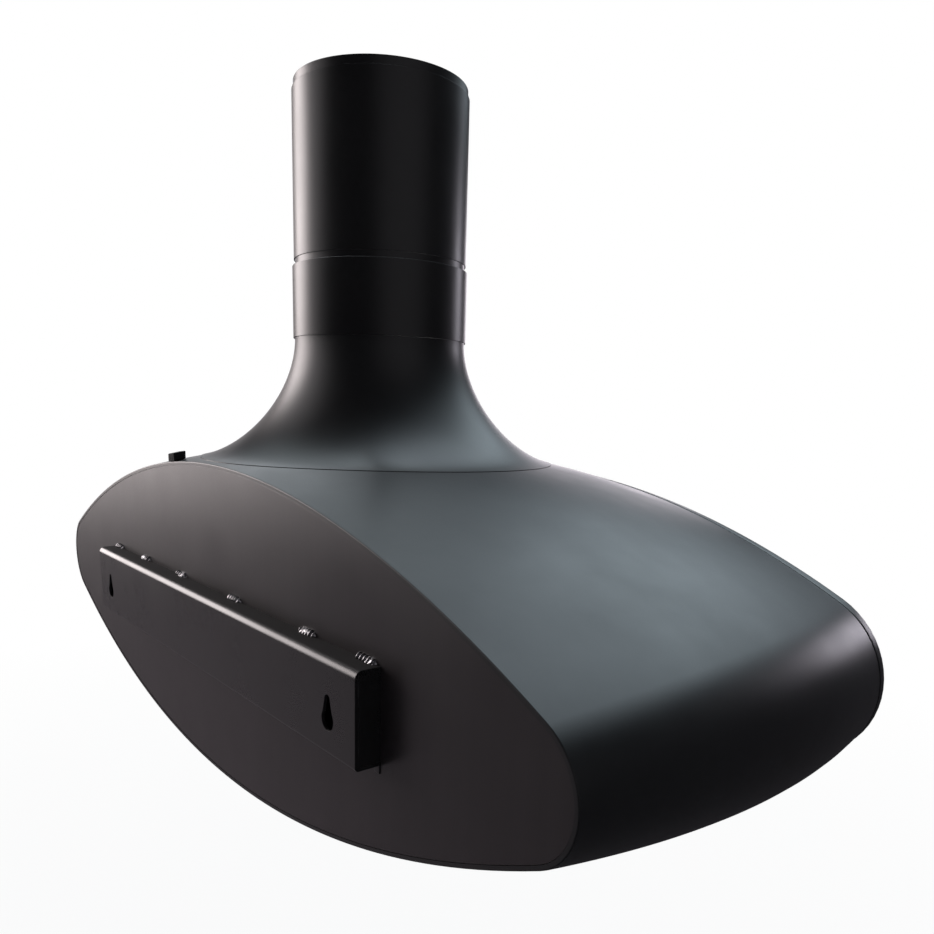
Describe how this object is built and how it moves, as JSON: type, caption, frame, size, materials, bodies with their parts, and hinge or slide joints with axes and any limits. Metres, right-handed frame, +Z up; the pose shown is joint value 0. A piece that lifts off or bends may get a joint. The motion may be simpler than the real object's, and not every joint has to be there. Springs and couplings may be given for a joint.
{
  "type": "hanging fireplace",
  "caption": "Wall-hung wood fireplace: lens-shaped steel body on a keyhole bracket, glazed drop-down door, flared flue neck with damper collar and pipe.",
  "frame": {"origin": "On the wall plane, midway between the two keyholes across the body, level with the middle of the body's rear outline", "axes": "+X to the viewer's right when facing the fire, +Y into the wall, +Z up; the fire opening looks along -Y"},
  "size_m": [1.4204, 0.715, 1.0389],
  "materials": {
    "body_coat": "satin black heat-resistant coat on steel",
    "plate_coat": "matt dark grey-brown coat on flat steel plate",
    "bracket_coat": "satin black coat on folded steel",
    "flue_coat": "satin black heat-resistant coat on thin tube",
    "frame_coat": "matt black coat on steel",
    "bare_weld": "rippled bare weld metal",
    "bare_steel": "plain machined steel",
    "sooty_steel": "mill-scale steel with light soot",
    "cast_grate": "sand-cast iron, dry",
    "bush_brass": "turned brass",
    "screw_black": "blackened screws",
    "knob_wood": "oiled hardwood knob",
    "fire_board": null,
    "rope_seal": "woven glass-fibre seal",
    "ceramic_glass": "clear heat-resistant ceramic glass"
  },
  "bodies": {
    "fixed": {"body_shell": "body_coat", "back_plate": "plate_coat", "wall_bracket": "bracket_coat", "bracket_end_caps": "bracket_coat", "weld_beads": "bare_weld", "rear_lug": "bracket_coat", "flue_flare": "body_coat", "damper_collar": "flue_coat", "flue_pipe": "flue_coat", "damper_bush_front": "bush_brass", "damper_bush_rear": "bush_brass", "smoke_baffle": "fire_board", "baffle_hangers": "sooty_steel", "hanger_nuts": "bare_steel", "heat_shield": "sooty_steel", "shield_studs": "bare_steel", "shield_spacers": "bare_steel", "shield_nuts": "bare_steel", "back_brick_left": "fire_board", "back_brick_middle": "fire_board", "back_brick_right": "fire_board", "side_brick_left": "fire_board", "side_brick_right": "fire_board", "hearth_plate": "sooty_steel", "hearth_rails": "sooty_steel", "floor_brick_left": "fire_board", "floor_brick_right": "fire_board", "floor_brick_rear": "fire_board", "floor_brick_front": "fire_board", "grate": "cast_grate", "ash_pan": "sooty_steel", "log_guard": "cast_grate", "inner_frame": "frame_coat", "front_trim": "body_coat", "door_seal": "rope_seal", "hinge_brackets": "frame_coat", "hinge_pins": "bare_steel", "bracket_screws": "screw_black", "air_guides": "sooty_steel"},
    "damper": {"damper_shaft": "bare_steel", "damper_flap": "sooty_steel", "flap_clamps": "sooty_steel", "damper_lever": "bracket_coat", "lever_knob": "knob_wood"},
    "air_control": {"air_slide": "bare_steel", "air_knob": "frame_coat"},
    "door": {"door_frame": "frame_coat", "door_glass": "ceramic_glass", "glass_gasket": "rope_seal", "glass_clips": "bare_steel", "clip_screws": "screw_black", "hinge_straps": "frame_coat", "strap_screws": "screw_black", "latch_bush": "bush_brass"},
    "latch": {"latch_spindle": "bare_steel", "latch_cam": "bare_steel", "door_handle": "frame_coat"}
  },
  "joints": [
    {"name": "damper_turn", "type": "hinge", "parent": "fixed", "child": "damper", "pos_m": [0, -0.306, 0.4645], "axis": [0.7071, -0.7071, 0], "range_deg": [0, 90]},
    {"name": "air_slide_travel", "type": "slide", "parent": "fixed", "child": "air_control", "axis": [1, 0, 0], "range_m": [0, 0.018]},
    {"name": "door_hinge", "type": "hinge", "parent": "fixed", "child": "door", "pos_m": [0, -0.683, -0.243], "axis": [1, 0, 0], "range_deg": [0, 90]},
    {"name": "latch_turn", "type": "hinge", "parent": "door", "child": "latch", "pos_m": [0, -0.68, 0.137], "axis": [0, -1, 0], "range_deg": [0, 90]}
  ]
}
